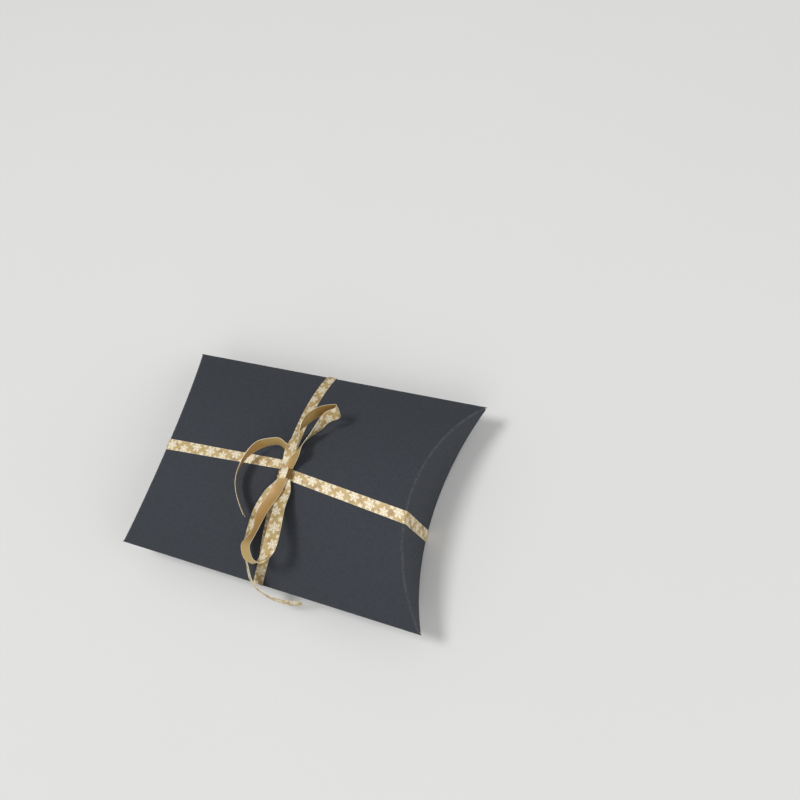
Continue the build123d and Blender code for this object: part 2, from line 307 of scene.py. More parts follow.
LOWER_LOOP = [
    (0.129, -0.196, 1, 0.30, 183, -4),
    (0.143, -0.310, 1, 0.50, 191, -4),
    (0.176, -0.441, 1, 0.85, 188, -2),
    (0.208, -0.569, 1, 1.10, 193, 19),
    (0.223, -0.701, 1, 1.10, 196, 18),
    (0.199, -0.784, 1, 0.80, 194, -8),
    (0.153, -0.829, 1, 0.43, 190, -23),
    (0.136, -0.845, 1, 0.36, 191, -27),
    (0.117, -0.855, 1, 0.35, 191, -30),
    (0.090, -0.855, 1, 0.36, 192, -34),
    (0.033, -0.839, 1, 0.37, 190, -24),
    (-0.002, -0.797, 1, 0.50, 186, -20),
    (-0.030, -0.735, 1, 0.55, 180, -22),
    (-0.006, -0.658, 1, 0.55, 172, -38),
    (0.008, -0.564, 1, 0.58, 174, -34),
    (0.006, -0.450, 1, 0.53, 176, -15),
    (0.035, -0.341, 1, 0.53, 176, -10),
    (0.070, -0.220, 1, 0.55, 180, -2),
]
UPPER_TAIL = [
    (0.036, 0.068, 1, 0.20, 20, 8),
    (0.020, 0.126, 1, 0.23, 34, 32),
    (-0.022, 0.162, 1, 0.32, 52, 60),
    (-0.062, 0.180, 1, 0.62, 58, 66),
    (-0.113, 0.162, 1, 0.90, 64, 74),
    (-0.217, 0.100, 1, 1.07, 88, 77),
    (-0.281, 0.009, 1, 1.12, 0, 80),
    (-0.317, -0.092, 1, 1.10, -18, 66),
    (-0.326, -0.185, 1, 1.03, -18, 61),
    (-0.308, -0.277, 1, 0.93, -8, 63),
    (-0.262, -0.364, 1, 0.83, 0, 66),
    (-0.200, -0.445, 1, 0.73, 6, 69),
    (-0.132, -0.515, 1, 0.67, 8, 71),
]
LOWER_TAIL = [
    (0.006, -0.225, 1, 0.15, 168, 2),
    (-0.042, -0.375, 1, 0.11, 167, 0),
    (-0.066, -0.494, 1, 0.01, 165, -8),
    (-0.079, -0.597, 0.965, 0, 160, -22),
    (-0.098, -0.706, 0.95, 0, 166, -53),
    (-0.085, -0.791, 0.87, 0, 166, -50),
    (-0.046, -0.870, 0.73, 0, 162, -45),
    (-0.015, -0.966, 0.51, 0, 160, -35),
    (0.026, -1.030, 0.22, 0, 172, -31),
    (0.089, -1.064, -0.06, 0, 188, -44),
    (0.187, -1.072, -0.25, 0, 208, -61),
    (0.292, -1.060, -0.36, 0, 224, -69),
    (0.377, -1.034, -0.44, 0, 227, -71),
]

# The strands of the bow: piece, node, stations, where the knot holds its ends, the face of the
# knot that it leaves (1 for the far one, -1 for the near one), and where it begins between two
# painted gleams of the satin's plain side, as a share of their distance. The knot's places are x
# from its middle as a share of its size and up from its foot as a share of its height.
STRANDS = (
    ("loop_far", "bow_loop_upper", UPPER_LOOP, [(-0.19, 0.50), (0.13, 0.74)], 1, 0.59),
    ("loop_near", "bow_loop_lower", LOWER_LOOP, [(0.19, 0.50), (0.06, 0.86)], -1, 0.0),
    ("tail_far", "bow_tail_upper", UPPER_TAIL, [(-0.19, 0.26)], 1, 0.75),
    ("tail_near", "bow_tail_lower", LOWER_TAIL, [(-0.21, 0.26)], -1, 0.0),
)

# The snow crystals in one repeat of the print: (along, across, size, turn), as shares of the
# repeat, of the ribbon's width and of the largest crystal, and in radians
FLAKES = (
    (0.10, 0.50, 1.00, 0.10),
    (0.43, 0.32, 0.86, 0.45),
    (0.74, 0.66, 0.94, 0.00),
    (0.26, 0.86, 0.50, 0.30),
    (0.58, 0.88, 0.42, 0.20),
    (0.27, 0.12, 0.36, 0.50),
    (0.60, 0.06, 0.46, 0.10),
    (0.91, 0.14, 0.50, 0.35),
    (0.93, 0.88, 0.34, 0.00),
)

# One crystal, with its radius as the unit: half the width of an arm, where each pair of barbs
# leaves it and how long they are, half the width of a barb, and the radius of the heart
ARM = 0.08
BARBS = ((0.36, 0.36), (0.64, 0.27))
BARB = 0.06
HEART = 0.24
# The barbs stand at 60 degrees to the arm, and two whole turns keep every angle above zero
BARB_COSINE, BARB_SINE = 0.5, 0.866
TWO_TURNS = 12.566

# The rim's value of the attribute "side", and how near to it counts as the rim
RIM = 0.5
RIM_MARGIN = 0.1
# How much finer the satin's threads are across the ribbon than along it
THREAD_SCALE = (1.2, 26.0, 1.0)

# The right and the left end of the box, and which way along X each lies
ENDS = (("right", 1), ("left", -1))
# Places of a ribbon's columns across it, as shares of its width
ACROSS = np.linspace(-0.5, 0.5, 9)
# A mesh's shading breaks where two faces meet at more than this
SHARP_ANGLE = radians(50)
# Gap between the front panel and the glued flap under it
SEAM_GAP = 0.00005
# Gap between an outer flap's free edge and the arc of the back panel
FLAP_GAP = 0.00008
# Length over which the sleeve's end passes from the crease under a flap to the cut beside it
CUT_BLEND = 0.0003
# Rows of the sleeve's mesh in from its ends; the creases' painted highlight fades out at the fourth
END_ROWS = np.array([0, 0.0002, 0.0004, 0.0007, 0.0025])
# Change of the normal's height, in a straight fold's turn, over which the sleeve's end passes
# from the front's crease to the back's
FOLD_TURN = 0.6
# Painted highlight of the straight folds, as a share of the curved creases'
FOLD_HIGHLIGHT = 0.6
# How far the painted highlight of a crease reaches down its flap
FLAP_HIGHLIGHT = 0.0005
# Rows of the mesh round a curved crease and down the wall under it, columns of a flap, and rows
# of a strand
CREASE_ROWS, WALL_ROWS, FLAP_COLUMNS, STRAND_ROWS = 8, 29, 97, 190
# How near to the girth's middle the front band's two halves stay straight, in girth widths
UNDER_GIRTH = 0.4
# Length over which the girth rises over a crossing, in thicknesses of the ribbon
RISE_RUN = 15
# How far from the knot's middle a strand is held, as a share of the knot's size across the box
GRIP = 0.42
# Where the print starts on the knot's outer turn
WRAP_PRINT = 0.0004

# The lamps: the name under which the settings hold its power, diameter and place
LAMPS = (
    ("key", 0.6, (-0.60, -0.10, 1.90)),
    ("right_fill", 2.0, (2.40, -0.05, 1.30)),
    ("front_fill", 2.0, (0.70, -1.70, 1.60)),
)
# Half the side of the square floor
FLOOR_HALF = 4.0
# The camera's focal length in millimetres, its place, and the ways to its right and behind it
CAMERA_LENS = 34.72
CAMERA_PLACE = (0.17749, -0.06316, 0.34247)
CAMERA_RIGHT = (0.9092, 0.2995, -0.2892)
CAMERA_BEHIND = (0.3776, -0.3005, 0.8759)


# Geometry on grids


def unit(vectors):
    """The vectors along the last axis, each divided by its length."""
    return vectors / np.linalg.norm(vectors, axis=-1, keepdims=True)


def smooth(t):
    """The smooth step 3t^2 - 2t^3, held at 0 and 1 outside that range."""
    t = np.clip(t, 0, 1)
    return t * t * (3 - 2 * t)


def turned(first, last, rows):
    """Rows of unit vectors turning evenly from first to last.

    With w the angle between them and t going from 0 to 1:
    (sin((1 - t) w) first + sin(t w) last) / sin w.
    """
    t = np.linspace(0, 1, rows)[:, None, None]
    angle = np.arccos(np.clip((first * last).sum(-1, keepdims=True), -1, 1))
    return (np.sin((1 - t) * angle) * first + np.sin(t * angle) * last) / np.sin(angle)


def run_along(points):
    """Length of the path through these points, up to each of them."""
    return np.concatenate([[0], np.cumsum(np.linalg.norm(np.diff(points, axis=0), axis=1))])


def spline(points, count):
    """Natural cubic spline through the points, sampled at equal steps of its chord length.

    The second derivatives m solve h0 m0 + 2 (h0 + h1) m1 + h1 m2 = 6 (slope1 - slope0) at each
    inner point and are zero at both ends.
    """
    knots = run_along(points[:, :3])
    steps = np.diff(knots)
    slopes = np.diff(points, axis=0) / steps[:, None]
    size = len(points)
    system = np.eye(size)
    inner = np.arange(1, size - 1)
    system[inner, inner - 1] = steps[:-1]
    system[inner, inner] = 2 * (steps[:-1] + steps[1:])
    system[inner, inner + 1] = steps[1:]
    right = np.zeros_like(points)
    right[1:-1] = 6 * np.diff(slopes, axis=0)
    bends = np.linalg.solve(system, right)
    at = np.linspace(0, knots[-1], count)
    span = np.clip(np.searchsorted(knots, at, side="right") - 1, 0, size - 2)
    step = steps[span][:, None]
    before = (knots[span + 1] - at)[:, None]
    after = (at - knots[span])[:, None]
    return (
        (bends[span] * before**3 + bends[span + 1] * after**3) / (6 * step)
        + (points[span] / step - bends[span] * step / 6) * before
        + (points[span + 1] / step - bends[span + 1] * step / 6) * after
    )


def new_piece(name, points, faces, side, uv=None, worn=None):
    """A smooth-shaded object of these faces, placed in the scene.

    The face attribute "side" is 1 on a sheet's face, 0 on its back and 0.5 on its rim. The point
    attribute of edges and highlight, from 0 to 1, marks a card's creases or a ribbon's edges, which
    the materials paint paler, partly as a highlight, and the UV map "ribbon" runs along
    and across the ribbon.
    """
    mesh = bpy.data.meshes.new(name)
    mesh.from_pydata(points.tolist(), [], faces)
    mesh.polygons.foreach_set("use_smooth", np.ones(len(faces), dtype=bool))
    layer = mesh.attributes.new("side", "FLOAT", "FACE")
    layer.data.foreach_set("value", side.astype(np.float32))
    if worn is not None:
        layer = mesh.attributes.new("worn", "FLOAT", "POINT")
        layer.data.foreach_set("value", worn.astype(np.float32))
    if uv is not None:
        loops = np.zeros(len(mesh.loops), dtype=np.int32)
        mesh.loops.foreach_get("vertex_index", loops)
        layer = mesh.uv_layers.new(name="ribbon")
        layer.data.foreach_set("uv", uv[loops].astype(np.float32).ravel())
    mesh.update()
    piece = bpy.data.objects.new(name, mesh)
    bpy.context.scene.collection.objects.link(piece)
    return piece


def slab(name, face, back, worn, along=None, across=None):
    """Closed sheet between two grids of points, rows by columns, joined round their rim.

    Quads run (i, j), (i+1, j), (i+1, j+1), (i, j+1) on the face, reversed on the back, and are
    all turned over if their normals don't point from back to face. along and across are the
    grid's UV map.
    """
    rows, columns = face.shape[:2]
    count = rows * columns
    index = np.arange(count).reshape(rows, columns)
    front = np.stack([index[:-1, :-1], index[1:, :-1], index[1:, 1:], index[:-1, 1:]], -1)
    front = front.reshape(-1, 4)
    rim = np.concatenate([index[0, :-1], index[:-1, -1], index[-1, :0:-1], index[:0:-1, 0]])
    onward = np.roll(rim, -1)
    walls = np.stack([rim, onward, onward + count, rim + count], -1)
    quads = np.concatenate([front, front[:, ::-1] + count, walls])
    normals = np.cross(face[1:, :-1] - face[:-1, :-1], face[:-1, 1:] - face[:-1, :-1])
    if (normals * (face - back)[:-1, :-1]).sum() < 0:
        quads = quads[:, ::-1]

    points = np.concatenate([face.reshape(-1, 3), back.reshape(-1, 3)])
    side = np.concatenate([np.ones(len(front)), np.zeros(len(front)), np.full(len(walls), RIM)])
    marks = np.tile(np.broadcast_to(worn, (rows, columns)).ravel(), 2)
    uv = None
    if along is not None:
        uv = np.tile(np.stack(np.broadcast_arrays(along, across), -1).reshape(-1, 2), (2, 1))
    piece = new_piece(name, points, quads.tolist(), side, uv, marks)
    piece.data.set_sharp_from_angle(angle=SHARP_ANGLE)
    return piece


def dressed(piece, material, slot, *nodes):
    """The piece with its material, standing for these nodes of the frame."""
    piece.data.materials.append(material)
    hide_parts(*nodes)
    return piece


# The card's shape


def lens(card):
    """Radius of a panel's arc and how far its centre lies past the plane of the folds.

    A chord of the box's width under an arc of the rise: r = (half^2 + rise^2) / (2 rise).
    """
    radius = ((card.width / 2) ** 2 + card.rise**2) / (2 * card.rise)
    return radius, radius - card.rise


def crease(card, y, side, setback):
    """Rounded crease at the +X end for the front (side 1) or the back (side -1).

    Panel and flap meet on the line x = half length - setback - lean * h(y), z = side * h(y)
    from the plane of the folds, with h the panel's arc. A circle of the fold's radius touches
    both: its centre stands r (p + f) / (1 + p.f) inside the line, p and f being the unit normals
    of panel and flap.
    """
    radius, drop = lens(card)
    depth = np.sqrt(radius**2 - y**2)
    height = depth - drop
    zero = np.zeros_like(y)
    line = np.stack(
        [card.length / 2 - setback - card.lean * height, y, FOLD_HEIGHT + side * height], -1
    )
    panel = np.stack([zero, y / radius, side * depth / radius], -1)
    flap = unit(np.stack([zero + 1, -card.lean * y / depth, zero], -1))
    inset = card.fold_radius / (1 + (panel * flap).sum(-1, keepdims=True))
    return line - inset * (panel + flap), panel, flap


def fold_circle(card):
    """Centre and half turn of the circle that rounds a straight fold, touching both arcs."""
    radius, drop = lens(card)
    out = np.sqrt((radius - card.fold_radius) ** 2 - drop**2)
    return out, np.arctan2(out, drop)


def along_arcs(stretches):
    """Points and normals along arcs in the Y-Z plane, in turn.

    Each stretch is (centre y, centre z, radius, first angle, last angle, steps), and a point is
    centre + radius (sin a, cos a) for a normal turned by a from the upright.
    """
    parts = []
    for number, (y, z, radius, first, last, steps) in enumerate(stretches):
        angle = np.linspace(first, last, steps + 1)[number > 0 :]
        normal = np.stack([np.zeros_like(angle), np.sin(angle), np.cos(angle)], -1)
        mark = np.full(len(angle), number)
        parts.append((normal * radius + [0, y, z], normal, mark))
    return [np.concatenate(list(column)) for column in zip(*parts)]


def sleeve_grids(card):
    """Outer and inner face of the sleeve, and the painted highlight along its folds and creases.

    Its section runs from the glued flap's edge round the far fold, over the front, round the
    near fold and along the back. Each of its points is drawn out to the crease or cut at both
    ends.
    """
    radius, drop = lens(card)
    half = card.width / 2
    fold = card.fold_radius
    under = card.board + SEAM_GAP
    out, turn = fold_circle(card)
    far_z = under * (2 * (radius - fold) - under) / (4 * drop)
    far_y = np.sqrt((radius - fold) ** 2 - (drop + far_z) ** 2)
    far_front = np.arctan2(far_y, drop + far_z)
    far_seam = np.pi - np.arctan2(far_y, drop - far_z)
    seam_edge = np.pi - np.arcsin((half - card.seam_width) / (radius - under))
    last_edge = -np.pi - np.arcsin((half - fold) / radius)
    over, below = FOLD_HEIGHT - drop, FOLD_HEIGHT + drop
    stretches = [
        (0, below, radius - under, seam_edge, far_seam, 14),
        (far_y, FOLD_HEIGHT + far_z, fold, far_seam, far_front, 10),
        (0, over, radius, far_front, -turn, 100),
        (-out, FOLD_HEIGHT, fold, -turn, turn - np.pi, 10),
        (0, below, radius, turn - np.pi, last_edge, 100),
    ]
    face, normal, stretch = along_arcs(stretches)
    y = face[:, 1]

    # Where the card ends: at the rounded crease under a flap, and at the cut beside it
    ends = []
    for side, setback, reach in ((1, 0, card.flap_reach), (-1, card.setback, card.tuck_reach)):
        at = np.linspace(-half, half, 400)
        centre, panel = crease(card, at, side, setback)[:2]
        rounded = centre + fold * panel
        sharp = card.length / 2 - setback - card.lean * np.abs(face[:, 2] - FOLD_HEIGHT)
        beside = smooth((np.abs(y) - reach) / CUT_BLEND)
        ends.append(np.interp(y, rounded[:, 1], rounded[:, 0]) * (1 - beside) + sharp * beside)
    taper = card.seam_taper / card.seam_width
    seam_end = card.length / 2 - card.seam_inset - taper * (half - y)
    upward = smooth(0.5 + normal[:, 2] / FOLD_TURN)
    end = ends[0] * upward + ends[1] * (1 - upward)
    end = np.where(stretch == 1, ends[0], end)
    end = np.where((stretch == 0) | ((stretch == 1) & (normal[:, 2] < 0)), seam_end, end)

    middle = np.linspace(-1, 1, 14)[1:-1, None] * (end - END_ROWS[-1])
    x = np.concatenate([END_ROWS[:, None] - end, middle, end - END_ROWS[::-1, None]])
    face = np.repeat(face[None], len(x), axis=0)
    face[..., 0] = x
    back = face - card.board * normal
    # Painted highlight: the curved creases near the ends and the straight folds are marked to be
    # painted paler
    fading = np.clip(1 - END_ROWS / END_ROWS[3], 0, 1)
    creased = np.concatenate([fading, np.zeros(len(middle)), fading[::-1]])[:, None] * (stretch > 1)
    worn = np.maximum(creased, np.isin(stretch, (1, 3)) * FOLD_HIGHLIGHT)
    return face, back, worn


def round_and_down(creased, radius, rows, spread, edge):
    """Points and normals round a crease and down the wall under it.

    The crease is an arc of this radius about its centre, in these rows, between the normals of
    panel and flap. From its end the wall goes upright to the height that edge gives for its y,
    by shares t^spread of the way.
    """
    centre, panel, flap = creased
    arc = turned(panel, flap, rows)
    bend = centre + radius * arc
    share = np.linspace(0, 1, WALL_ROWS + 1)[1:] ** spread
    wall = np.repeat(bend[-1:], len(share), axis=0)
    wall[..., 2] += share[:, None] * (edge(wall[..., 1]) - wall[..., 2])
    normal = np.concatenate([arc, np.repeat(flap[None], len(share), axis=0)])
    return np.concatenate([bend, wall]), normal


def flap_grids(card, side, setback, reach, free_edge):
    """Outer and inner face of a flap at the +X end, and the painted highlight along its crease.

    It runs from its rounded crease to the free edge, whose height is a function of y.
    """
    creased = crease(card, np.linspace(-reach, reach, FLAP_COLUMNS), side, setback)
    face, normal = round_and_down(
        creased, card.fold_radius, rows=CREASE_ROWS, spread=1.5, edge=free_edge
    )
    # Painted highlight: the crease and the top of the wall under it are marked to be painted paler
    under = np.abs(face[..., 2] - face[CREASE_ROWS - 1, :, 2])
    worn = np.clip(1 - under / FLAP_HIGHLIGHT, 0, 1)
    worn[:CREASE_ROWS] = 1
    return face, face - card.board * normal, worn


# The ribbon's shape


def ribbon_slab(name, ribbon, path, normal, start=0.0, turned_over=False):
    """Ribbon between the grid of its under side and the same grid moved out by its thickness.

    u is the length along the middle of the grid and v the place across it, both in widths of
    the ribbon, with v = 0.5 in the middle. A strand that is turned over has its print below.
    """
    middle = path[:, path.shape[1] // 2]
    along = (start + run_along(middle))[:, None] / ribbon.width
    wide = np.linalg.norm(path[:, -1] - path[:, 0], axis=1)[:, None] / ribbon.width
    place = np.linspace(-1, 1, path.shape[1])[None]
    face = path + ribbon.thickness * normal
    if turned_over:
        face, path = path, face
    return slab(name, face, path, np.abs(place), along, 0.5 + place * wide / 2)


def over_panel(card, x, y, side, lift):
    """Points lift over a panel's arc at these x and y, and the arc's normals there."""
    radius, drop = lens(card)
    ring = radius + lift
    depth = np.sqrt(ring**2 - y**2)
    points = np.stack([x, y, FOLD_HEIGHT + side * (depth - drop)], -1)
    normal = np.stack([np.zeros_like(x), y / ring, side * depth / ring], -1)
    return points, normal


def across_crease(card, ribbon, middle_y):
    """Rounded crease at the +X end under each column of a lengthwise band."""
    return crease(card, middle_y + ACROSS * ribbon.end_width, 1, 0)


def front_band(card, ribbon):
    """Lengthwise band on the front: straight in plan from each crease to the girth.

    Its two halves meet the girth at different places, and under it the band steps from one to
    the other by the smooth step.
    """
    reach = card.fold_radius + ribbon.lift
    halves = []
    for sign, end_y, tied_y, tied_width in (
        (-1, ribbon.left_y, ribbon.left_tied_y, ribbon.left_tied_width),
        (1, ribbon.right_y, ribbon.right_tied_y, ribbon.right_tied_width),
    ):
        centre, panel = across_crease(card, ribbon, end_y)[:2]
        outer = (centre + reach * panel)[:, :2] * [sign, 1]
        tied_x = np.full(len(ACROSS), ribbon.crossing[0])
        tied = np.stack([tied_x, tied_y + ACROSS * tied_width], -1)
        hidden = UNDER_GIRTH * ribbon.girth_width / np.abs(outer[:, :1] - tied[:, :1])
        inner = tied + hidden * (outer - tied)
        halves.append(inner + np.linspace(1, 0, 40)[:, None, None] * (outer - inner))
    left, right = halves[0], halves[1][::-1]
    share = np.linspace(0, 1, 12)[1:-1, None]
    step = np.stack([share + 0 * ACROSS, smooth(share) + 0 * ACROSS], -1)
    plan = np.concatenate([left, left[-1] + step * (right[0] - left[-1]), right])
    return over_panel(card, plan[..., 0], plan[..., 1], 1, ribbon.lift)


def end_band(card, ribbon, middle_y):
    """Band over the crease and down the outer flap at the +X end."""

    def foot(y):
        return over_panel(card, y, y, -1, 0)[0][..., 2]

    creased = across_crease(card, ribbon, middle_y)
    return round_and_down(creased, card.fold_radius + ribbon.lift, rows=10, spread=1, edge=foot)


def back_band(card, ribbon):
    """Lengthwise band on the back, bent up at both ends round the outer flaps' free edges.

    Each bend is an arc of the lift's radius about the flap's edge, from the flap's normal to
    the back panel's.
    """
    turns = []
    for middle_y, flip in ((ribbon.left_y, -1), (ribbon.right_y, 1)):
        wall, normals = end_band(card, ribbon, middle_y)
        corner = wall[-1] - ribbon.lift * normals[-1]
        down = over_panel(card, corner[:, 0], corner[:, 1], -1, 0)[1]
        arc = turned(normals[-1], down, 8)
        turns.append(((corner + ribbon.lift * arc) * [flip, 1, 1], arc * [flip, 1, 1]))
    (left, left_normal), (right, right_normal) = turns
    share = np.linspace(0, 1, 60)[1:-1, None, None]
    plan = left[-1, :, :2] + share * (right[-1, :, :2] - left[-1, :, :2])
    run, normal = over_panel(card, plan[..., 0], plan[..., 1], -1, ribbon.lift)
    normals = np.concatenate([left_normal, normal, right_normal[::-1]])
    return np.concatenate([left, run, right[::-1]]), normals


def girth_band(card, ribbon):
    """Band round the girth, from the crossing over the near fold, the back and the far fold.

    It follows the arcs of the card and rises over the lengthwise band where it crosses it.
    """
    radius, drop = lens(card)
    out, turn = fold_circle(card)
    fold = card.fold_radius
    crossing_x, crossing_y = ribbon.crossing
    first = np.arcsin(crossing_y / radius)
    over, below = FOLD_HEIGHT - drop, FOLD_HEIGHT + drop
    stretches = [
        (0, over, radius, first, -turn, 60),
        (-out, FOLD_HEIGHT, fold, -turn, turn - np.pi, 12),
        (0, below, radius, turn - np.pi, -turn - np.pi, 110),
        (out, FOLD_HEIGHT, fold, -turn - np.pi, turn - 2 * np.pi, 12),
        (0, over, radius, turn - 2 * np.pi, first - 2 * np.pi, 60),
    ]
    path, normal = along_arcs(stretches)[:2]
    y = path[:, 1]
    half = card.width / 2
    front = np.interp(
        y,
        [-half, ribbon.girth_bend[1], crossing_y, half],
        [ribbon.near_x, ribbon.girth_bend[0], crossing_x, ribbon.far_x],
    )
    behind = np.interp(y, [-half, half], [ribbon.near_x, ribbon.far_x])
    in_front = normal[:, 2] > 0
    x = np.where(in_front, front, behind)

    # The lengthwise band that it crosses: its middle and half its width in front and behind
    tied = (ribbon.left_tied_y + ribbon.right_tied_y) / 2
    tied_half = (ribbon.left_tied_y - ribbon.right_tied_y + ribbon.right_tied_width) / 2
    crossed = np.where(in_front, tied, (ribbon.left_y + ribbon.right_y) / 2)
    reach = np.where(in_front, tied_half, ribbon.end_width / 2)
    beyond = np.abs(y - crossed) - reach - ribbon.thickness
    near = 1 - smooth(beyond / (RISE_RUN * ribbon.thickness))
    lift = ribbon.lift + near * (ribbon.thickness + ribbon.lift)
    grid = np.repeat((path + lift[:, None] * normal)[:, None], len(ACROSS), axis=1)
    grid[..., 0] = x[:, None] + ACROSS * ribbon.girth_width
    return grid, np.repeat(normal[:, None], len(ACROSS), axis=1)


def strand(card, ribbon, bow, stations, tied, leave, waist):
    """One loop or tail of the bow as a grid of its plain side and its normals.

    A smooth spline runs through the stations, and a second one through the directions of the
    ribbon's width. The path's own direction less its part along the width gives the way on, and
    width cross way on is the printed side's normal. leave is 1 for a strand that leaves the
    knot's far face and -1 for its near face.
    """
    x, y, up, above, heading, tilt = np.array(stations, dtype=float).T
    half = card.width / 2
    height = FOLD_HEIGHT + up * card.rise + above * ribbon.width
    places = np.stack([x * half, y * half, height], -1)
    heading, tilt = np.radians(heading), np.radians(tilt)
    widths = np.stack(
        [np.cos(tilt) * np.cos(heading), np.cos(tilt) * np.sin(heading), np.sin(tilt)], -1
    )
    held = np.array([(across, GRIP * leave, up - 0.5) for across, up in tied])
    held = np.array(bow.centre) + held * np.array(bow.size)
    places = np.concatenate([held[:1], places, held[1:]])
    flat = np.array([[leave, 0, 0]])
    widths = np.concatenate([flat, widths, flat[: len(held) - 1]])
    rows = spline(np.concatenate([places, widths * ribbon.width], -1), STRAND_ROWS)
    path, width_way = rows[:, :3], unit(rows[:, 3:])
    onward = np.gradient(path, axis=0)
    onward = unit(onward - width_way * (onward * width_way).sum(-1, keepdims=True))
    normal = np.cross(width_way, onward)
    run = run_along(path)
    gathered = 1 - smooth(run / bow.gather)
    if len(held) > 1:
        gathered = np.maximum(gathered, 1 - smooth((run[-1] - run) / bow.gather))
    wide = ribbon.width * (1 - (1 - waist) * gathered)
    bowed = bow.camber * (1 - (2 * ACROSS) ** 2)
    grid = path[:, None] + (wide[:, None] * ACROSS)[..., None] * width_way[:, None]
    grid = grid + (bowed[None, :, None] - ribbon.thickness / 2) * normal[:, None]
    return grid, np.repeat(normal[:, None], len(ACROSS), axis=1)


def boxed(turn, power):
    """A sine or cosine drawn out towards the sides of a box: its sign times |turn|^power."""
    return np.sign(turn) * np.abs(turn) ** power


def knot_wrap(ribbon, bow):
    """The knot's outer turn: a rounded box section carried across, gathered at its sides.

    The section is |x/a|^n + |z/b|^n = 1. Its angle runs from the +X side of the top over the -X
    side to underneath, and its first end dives into the folded strands. Across it the ribbon is
    full width on top and narrower below, with pleats that deepen towards the sides.
    """
    squareness = 2.6
    narrowing = 0.30
    slant = 0.0006
    pleat_depth, pleat_turn, pleat_slant = 0.00013, 7, 1.5
    edge_drop = 0.00016
    dive_depth, dive_share = 0.22, 0.05
    a, b = bow.size[0] / 2, bow.size[2] / 2
    share = np.linspace(0, 1, 120)[:, None]
    angle = bow.wrap_start + share * (bow.wrap_end - bow.wrap_start)
    across = np.linspace(-1, 1, 25)[None]
    c, s = np.cos(angle), np.sin(angle)
    x, z = a * boxed(c, 2 / squareness), b * boxed(s, 2 / squareness)
    gather = smooth(0.5 - 0.75 * s)
    half_length = bow.size[1] / 2 * (1 - narrowing * gather)
    y = across * half_length + slant * c * (1 - gather)
    pleat = pleat_depth * np.cos(across * pleat_turn + pleat_slant * c) * smooth(1.15 - np.abs(s))
    edge = -edge_drop * across**4
    dive = dive_depth * (1 - smooth(share / dive_share))
    scale = 1 - ribbon.thickness / b + (pleat + edge) / b - dive
    grid = np.stack(np.broadcast_arrays(x * scale, y, z * scale), -1)
    down = np.gradient(grid, axis=0)
    sideways = np.gradient(grid, axis=1)
    normal = unit(np.cross(sideways, down))
    outward = (normal * grid * [1, 0, 1]).sum()
    return grid + np.array(bow.centre), normal * np.sign(outward)


def knot_heart(bow):
    """The gathered strands inside the knot: a closed lens-ended bar with lengthwise pleats.

    (x, z) = share * (a cos t, b sin t) on a rounded box section, with share falling to zero at
    both ends, where y stands out by the gathered length.
    """
    pleats, pleat_depth = 9, 0.05
    roundness, bluntness = 0.8, 6
    # The heart's size along X, Y and Z, as shares of the knot's
    shares = [0.90, 0.97, 0.66]
    a, length, b = np.array(bow.size) / 2 * shares
    turn = np.linspace(0, 2 * np.pi, 97)
    end = np.linspace(-1, 1, 33)
    t, v = np.meshgrid(turn, end, indexing="ij")
    share = np.sqrt(np.clip(1 - np.abs(v) ** bluntness, 0, 1))
    pleat = 1 + pleat_depth * np.cos(pleats * t) * share
    x = a * boxed(np.cos(t), roundness) * share * pleat
    z = b * boxed(np.sin(t), roundness) * share * pleat
    return np.stack([x, v * length, z], -1) + np.array(bow.centre)


def closed_skin(name, grid, width):
    """Closed mesh of a grid whose rows wrap round and whose two outer columns are poles.

    Its UV map is Y and X in units of this width.
    """
    ring = grid[:-1, 1:-1]
    rows, columns = ring.shape[:2]
    index = np.arange(rows * columns).reshape(rows, columns)
    after = np.roll(index, -1, axis=0)
    quads = np.stack([index[:, :-1], after[:, :-1], after[:, 1:], index[:, 1:]], -1)
    first, last = rows * columns, rows * columns + 1
    start = np.stack([after[:, 0], index[:, 0], np.full(rows, first)], -1)
    finish = np.stack([index[:, -1], after[:, -1], np.full(rows, last)], -1)
    faces = quads.reshape(-1, 4).tolist() + start.tolist() + finish.tolist()
    points = np.concatenate([ring.reshape(-1, 3), grid[0, :1], grid[0, -1:]])
    return new_piece(name, points, faces, np.zeros(len(faces)), points[:, [1, 0]] / width)


# Materials


def give(tree, socket, value):
    """Sets an input to a plain value or links it from a socket."""
    if isinstance(value, bpy.types.NodeSocket):
        tree.links.new(value, socket)
    else:
        socket.default_value = value


def fill(tree, node, *values, **inputs):
    """Fills a node's first inputs with values in turn, and the others by name."""
    for number, value in enumerate(values):
        give(tree, node.inputs[number], value)
    for name, value in inputs.items():
        give(tree, node.inputs[name.replace("_", " ")], value)
    return node


def add(tree, kind, settings, *values, **inputs):
    """A new node with its settings and its inputs."""
    node = tree.nodes.new(kind)
    for name, value in settings.items():
        setattr(node, name, value)
    return fill(tree, node, *values, **inputs)


def maths(tree, operation, *values):
    """The result of one Math node."""
    return add(tree, "ShaderNodeMath", {"operation": operation}, *values).outputs[0]


def times(tree, first, second):
    """The product of two values."""
    return maths(tree, "MULTIPLY", first, second)


def plus(tree, first, second):
    """The sum of two values."""
    return maths(tree, "ADD", first, second)


def less(tree, first, second):
    """The first value less the second."""
    return maths(tree, "SUBTRACT", first, second)


def ranged(tree, value, low, high, first=0.0, last=1.0):
    """The value's smooth step from low to high, between first and last."""
    smoothly = {"interpolation_type": "SMOOTHSTEP"}
    return add(tree, "ShaderNodeMapRange", smoothly, value, low, high, first, last).outputs[0]


def blended(tree, factor, first, second):
    """A colour between two others."""
    node = add(tree, "ShaderNodeMix", {"data_type": "RGBA"}, factor)
    give(tree, node.inputs[6], first)
    give(tree, node.inputs[7], second)
    return node.outputs[2]


def mottled(tree, factor, colour, dark, light):
    """A colour between a darker and a lighter shade of itself."""
    colour = Vector(colour)
    return blended(tree, factor, (*(colour * dark), 1), (*(colour * light), 1))


def overlaid(tree, mask, strength, under, colour):
    """This colour over another where the mask says so, as far as the strength allows."""
    return blended(tree, times(tree, mask, strength), under, (*colour, 1))


